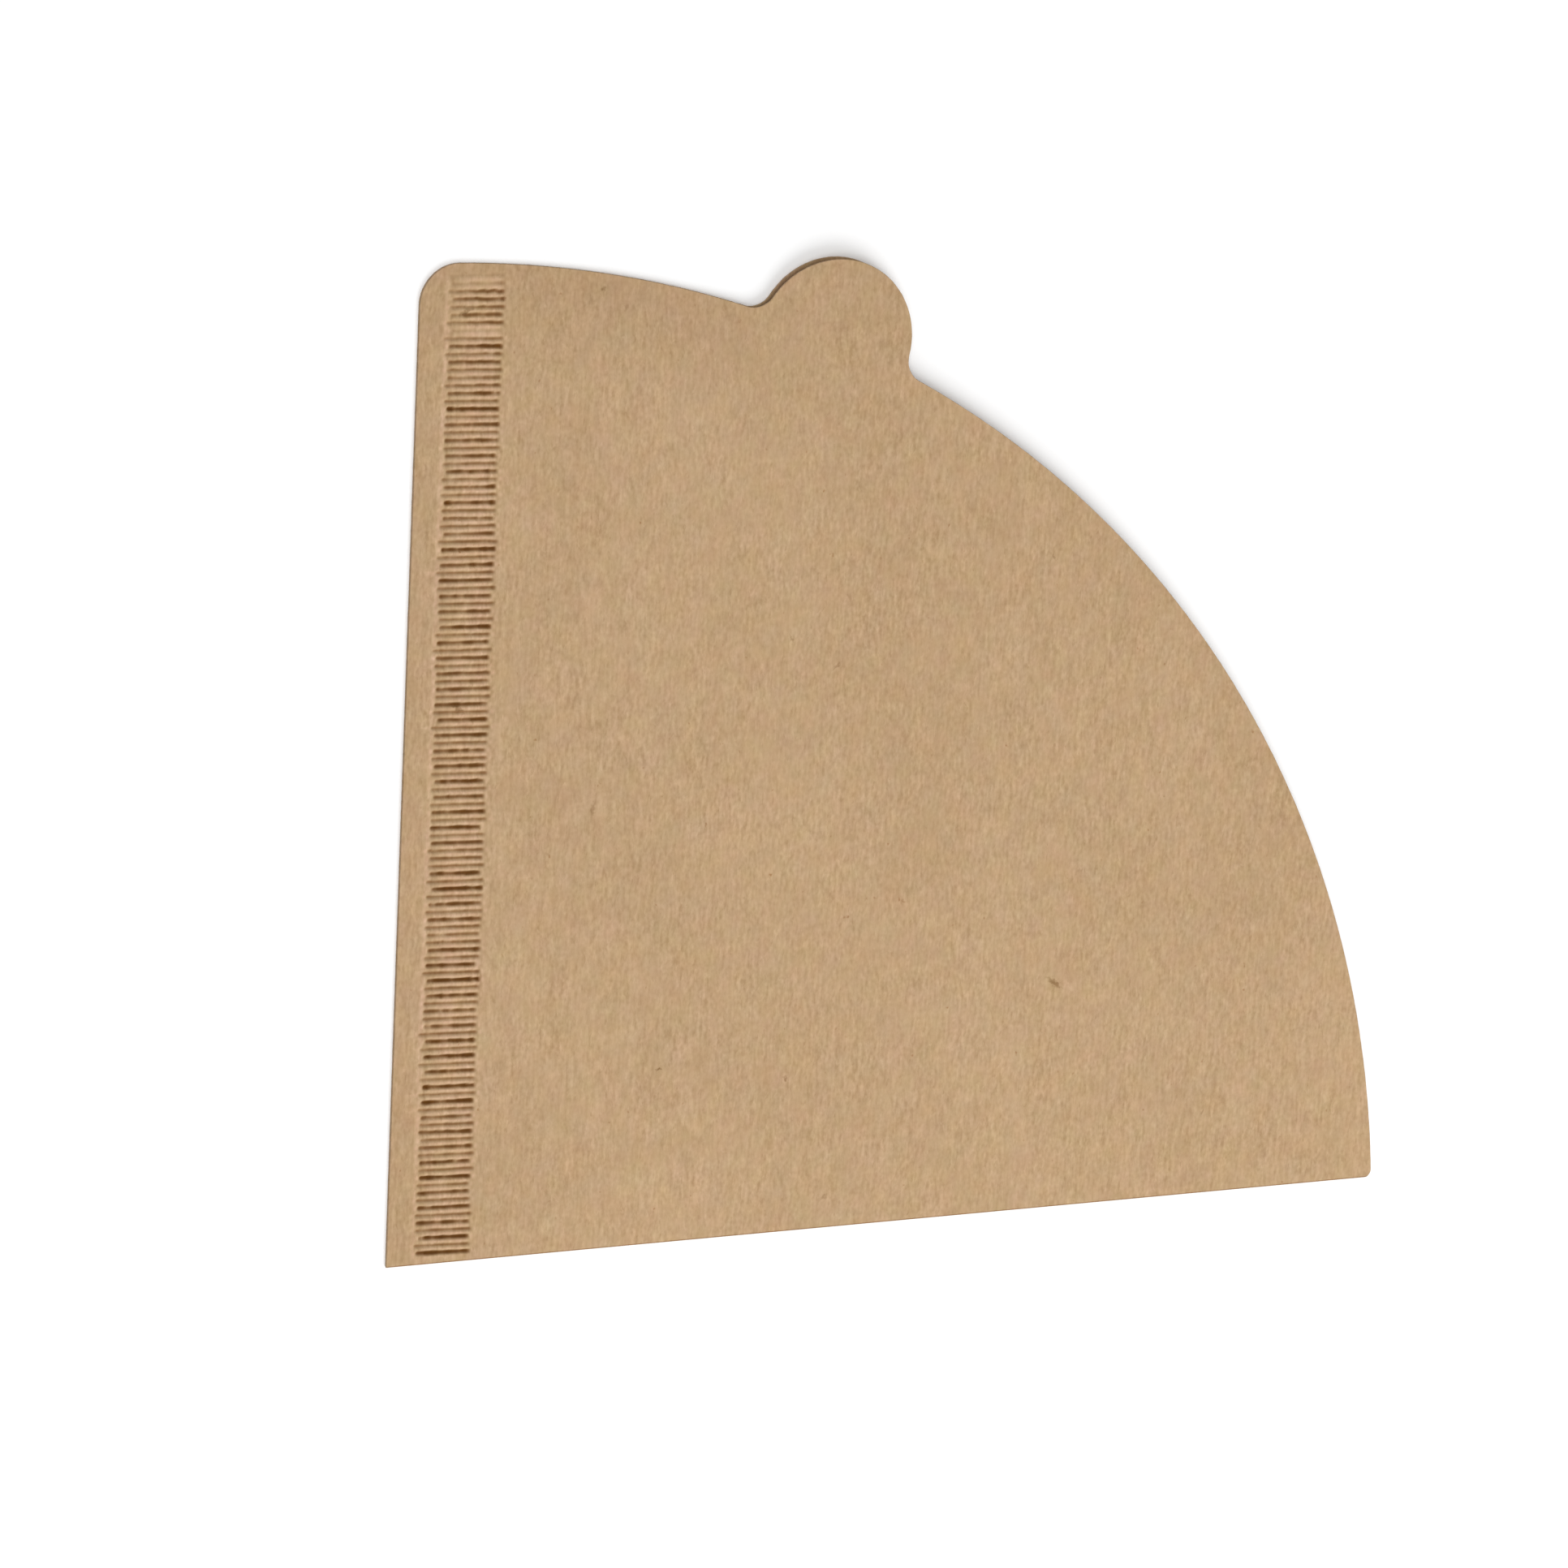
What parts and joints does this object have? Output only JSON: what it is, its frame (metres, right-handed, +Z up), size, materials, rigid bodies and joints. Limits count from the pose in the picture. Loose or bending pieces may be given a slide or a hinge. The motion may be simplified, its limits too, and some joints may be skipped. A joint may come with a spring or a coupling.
{
  "type": "paper coffee filter",
  "caption": "Folded cone coffee filter of kraft paper, closed by a bottom fold and a crimped side seam, and open along a curved mouth with a pull tab.",
  "frame": {"origin": "middle of the filter's bounding box, on the surface that its back ply lies on", "axes": "+X along the fold, from the seam side to the mouth; +Y up the seam side, from the fold to the mouth; +Z up, out of the front ply"},
  "size_m": [0.1379, 0.1249, 0.0027],
  "materials": {
    "kraft_paper": "uncoated unbleached filter paper, fibrous and matte, with darker crimps"
  },
  "bodies": {
    "root": {"paper_filter": "kraft_paper"}
  },
  "joints": []
}
